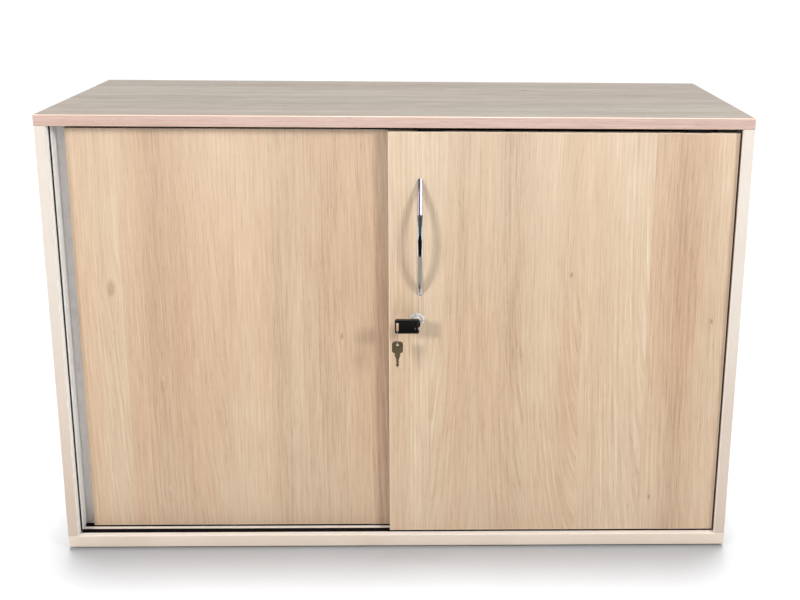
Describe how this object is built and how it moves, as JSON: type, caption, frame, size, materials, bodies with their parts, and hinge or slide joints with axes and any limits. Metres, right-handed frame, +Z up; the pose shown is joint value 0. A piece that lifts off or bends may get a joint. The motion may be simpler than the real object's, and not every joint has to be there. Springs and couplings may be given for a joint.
{
  "type": "office credenza",
  "caption": "Desk-high office cupboard with bypassing sliding doors, a finger gap, a bow handle, and a push lock with a folding key.",
  "frame": {"origin": "on the floor, under the middle of the carcass footprint, at the foot of the centre glide", "axes": "+X to the right along the width, -Y out of the front, +Z up"},
  "size_m": [1.2, 0.4856, 0.8],
  "materials": {
    "door_decor": "wood-grain laminate, upright grain, satin",
    "top_decor": "wood-grain laminate, level grain, satin",
    "edging_decor": "wood-grain edging, satin",
    "cream_board": "plain cream laminate, satin",
    "white_board": "plain white laminate, matt",
    "black_plastic": "moulded, matt",
    "dark_rubber": "soft, matt",
    "grey_metal": "anodised, satin",
    "wheel_plastic": "moulded, satin",
    "chrome": "polished",
    "lock_nickel": "nickel plate, satin",
    "pin_metal": "zinc plate, satin",
    "steel": "bright",
    "key_plastic": "moulded, half gloss",
    "key_metal": "nickel silver, worn"
  },
  "bodies": {
    "carcass": {"bottom_panel": "cream_board", "top_panel": "top_decor", "top_front_edging": "edging_decor", "left_side_panel": "cream_board", "right_side_panel": "cream_board", "back_panel": "white_board", "centre_divider": "cream_board", "left_shelf": "cream_board", "right_shelf": "cream_board", "left_shelf_pin_front_left": "pin_metal", "left_shelf_pin_rear_left": "pin_metal", "left_shelf_pin_front_right": "pin_metal", "left_shelf_pin_rear_right": "pin_metal", "right_shelf_pin_front_left": "pin_metal", "right_shelf_pin_rear_left": "pin_metal", "right_shelf_pin_front_right": "pin_metal", "right_shelf_pin_rear_right": "pin_metal", "front_left_glide": "black_plastic", "front_right_glide": "black_plastic", "rear_left_glide": "black_plastic", "rear_right_glide": "black_plastic", "centre_glide": "black_plastic", "lower_front_track": "black_plastic", "upper_front_track": "black_plastic", "lower_rear_track": "black_plastic", "upper_rear_track": "black_plastic", "left_track_stop": "dark_rubber", "right_track_stop": "dark_rubber", "left_end_profile": "grey_metal", "left_buffer_strip": "dark_rubber", "right_end_profile": "grey_metal", "right_buffer_strip": "dark_rubber"},
    "left_door": {"left_door_panel": "door_decor", "left_door_left_roller_housing": "black_plastic", "left_door_left_top_guide": "black_plastic", "left_door_right_roller_housing": "black_plastic", "left_door_right_top_guide": "black_plastic"},
    "left_door_left_wheel": {"left_door_left_wheel": "wheel_plastic"},
    "left_door_right_wheel": {"left_door_right_wheel": "wheel_plastic"},
    "right_door": {"right_door_panel": "door_decor", "right_door_left_roller_housing": "black_plastic", "right_door_left_top_guide": "black_plastic", "right_door_right_roller_housing": "black_plastic", "right_door_right_top_guide": "black_plastic", "bow_handle": "chrome", "upper_handle_screw": "steel", "lower_handle_screw": "steel", "lock_housing": "lock_nickel", "lock_nut": "steel"},
    "right_door_left_wheel": {"right_door_left_wheel": "wheel_plastic"},
    "right_door_right_wheel": {"right_door_right_wheel": "wheel_plastic"},
    "lock_plunger": {"lock_plunger": "lock_nickel"},
    "lock_key": {"lock_plug": "lock_nickel", "key_blade": "steel", "key_hub": "key_plastic"},
    "key_head": {"key_head": "key_plastic", "key_hinge_pin": "steel"},
    "key_ring": {"key_ring": "steel"},
    "spare_key": {"spare_key": "key_metal"}
  },
  "joints": [
    {"name": "left_door_slide", "type": "slide", "parent": "carcass", "child": "left_door", "axis": [1, 0, 0], "range_m": [0, 0.536]},
    {"name": "right_door_slide", "type": "slide", "parent": "carcass", "child": "right_door", "axis": [-1, 0, 0], "range_m": [0, 0.563]},
    {"name": "left_door_left_wheel_roll", "type": "hinge", "parent": "left_door", "child": "left_door_left_wheel", "pos_m": [-0.492, -0.184, 0.0348], "axis": [0, 1, 0], "continuous": true},
    {"name": "left_door_right_wheel_roll", "type": "hinge", "parent": "left_door", "child": "left_door_right_wheel", "pos_m": [-0.044, -0.184, 0.0348], "axis": [0, 1, 0], "continuous": true},
    {"name": "right_door_left_wheel_roll", "type": "hinge", "parent": "right_door", "child": "right_door_left_wheel", "pos_m": [0.0535, -0.206, 0.0348], "axis": [0, 1, 0], "continuous": true},
    {"name": "right_door_right_wheel_roll", "type": "hinge", "parent": "right_door", "child": "right_door_right_wheel", "pos_m": [0.5095, -0.206, 0.0348], "axis": [0, 1, 0], "continuous": true},
    {"name": "lock_push", "type": "slide", "parent": "right_door", "child": "lock_plunger", "axis": [0, 1, 0], "range_m": [0, 0.01], "stiffness_N_per_m": 120},
    {"name": "key_turn", "type": "hinge", "parent": "lock_plunger", "child": "lock_key", "pos_m": [0.033, -0.224, 0.44], "axis": [0, 1, 0], "range_deg": [0, 90]},
    {"name": "key_fold", "type": "hinge", "parent": "lock_key", "child": "key_head", "pos_m": [0.033, -0.248, 0.44], "axis": [0, 0, 1], "range_deg": [0, 180]},
    {"name": "ring_swing", "type": "hinge", "parent": "key_head", "child": "key_ring", "pos_m": [-0.0005, -0.248, 0.43145], "axis": [0, 1, 0], "range_deg": [-35, 35]},
    {"name": "spare_key_swing", "type": "hinge", "parent": "key_ring", "child": "spare_key", "pos_m": [-0.0005, -0.248, 0.40745], "axis": [0, 1, 0], "range_deg": [-60, 60]}
  ],
  "couplings": [
    {"joint": "left_door_left_wheel_roll", "follows": "left_door_slide", "rad_per_m": 71.429},
    {"joint": "left_door_right_wheel_roll", "follows": "left_door_slide", "rad_per_m": 71.429},
    {"joint": "right_door_left_wheel_roll", "follows": "right_door_slide", "rad_per_m": -71.429},
    {"joint": "right_door_right_wheel_roll", "follows": "right_door_slide", "rad_per_m": -71.429}
  ]
}
